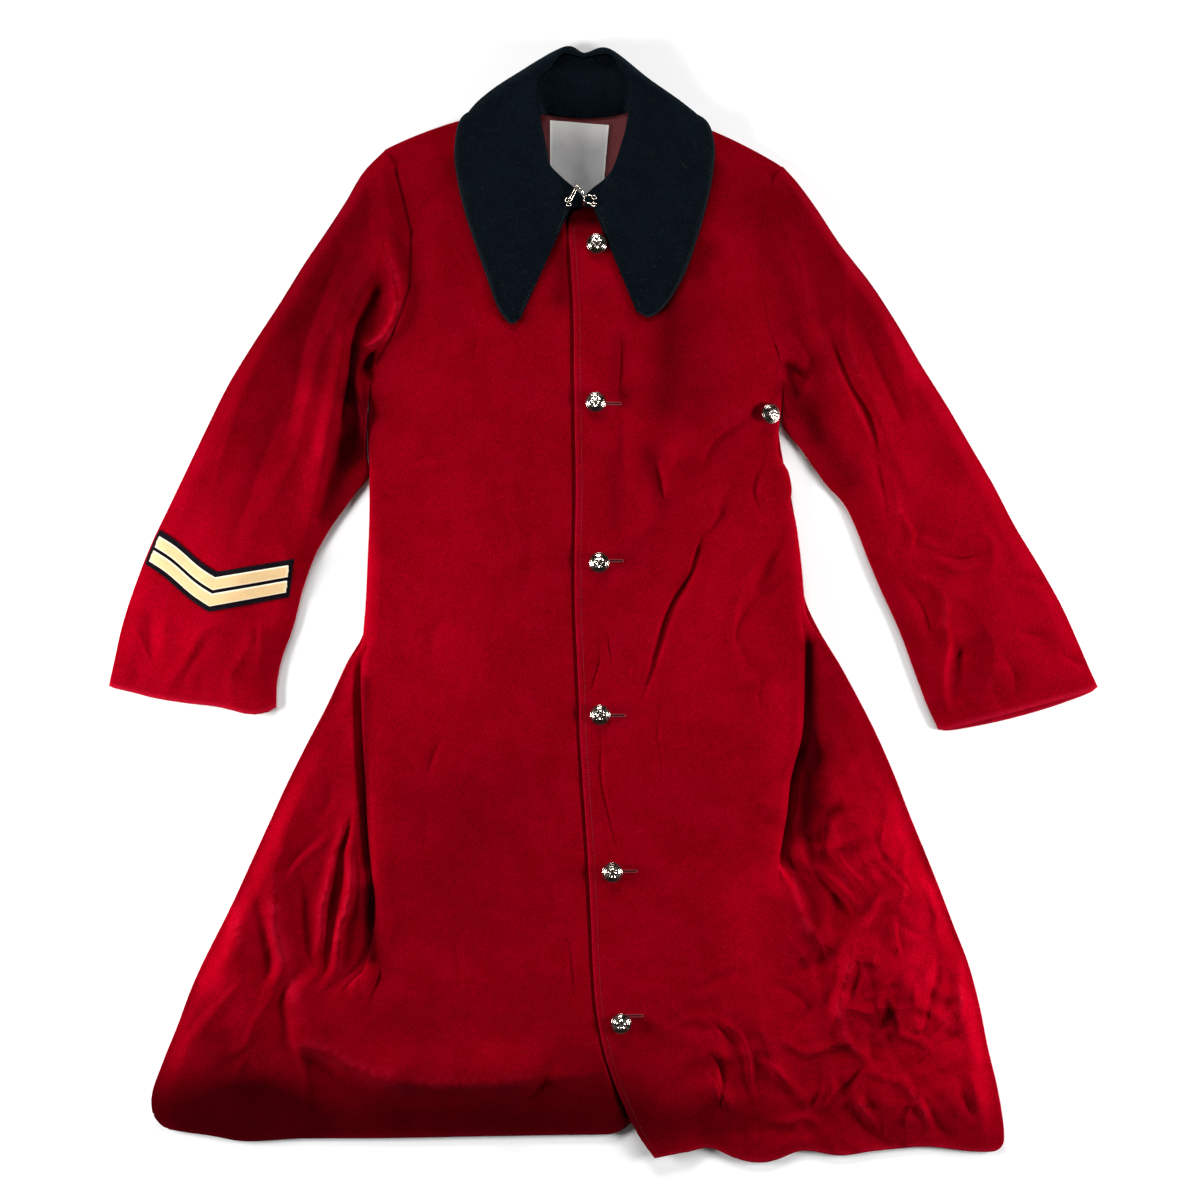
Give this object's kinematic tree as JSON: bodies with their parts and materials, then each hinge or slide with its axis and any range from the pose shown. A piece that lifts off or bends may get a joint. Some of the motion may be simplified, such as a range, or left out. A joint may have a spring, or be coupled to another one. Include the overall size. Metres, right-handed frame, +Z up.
{
  "type": "cavalry cloak",
  "caption": "Long red melton cavalry cloak with sleeves, dark pointed collar, silver buttons and a gold chevron on one sleeve, laid flat on its back.",
  "frame": {"origin": "middle of the cloak's box as seen from above, on the surface it lies on", "axes": "+Y from the hem towards the collar, +X towards the wearer's left sleeve, +Z up off the surface"},
  "size_m": [1.1389, 1.2826, 0.0292],
  "materials": {
    "red_melton": "matt napped wool",
    "dark_felt": "matt felt",
    "red_lining": "matt",
    "white_label": "matt",
    "silver": "polished",
    "dark_backing": "matt",
    "gold_lace": "soft sheen"
  },
  "bodies": {
    "root": {"back": "red_melton", "right_front": "red_melton", "left_front": "red_melton", "right_sleeve": "red_melton", "left_sleeve": "red_melton", "collar_fall": "dark_felt", "collar_stand": "dark_felt", "neck_lining": "red_lining", "label": "white_label", "button_1": "silver", "button_2": "silver", "button_3": "silver", "button_4": "silver", "button_5": "silver", "button_6": "silver", "side_button": "silver", "hook": "silver", "eye": "silver", "chevron_backing": "dark_backing", "chevron_upper_bar": "gold_lace", "chevron_lower_bar": "gold_lace"}
  },
  "joints": []
}
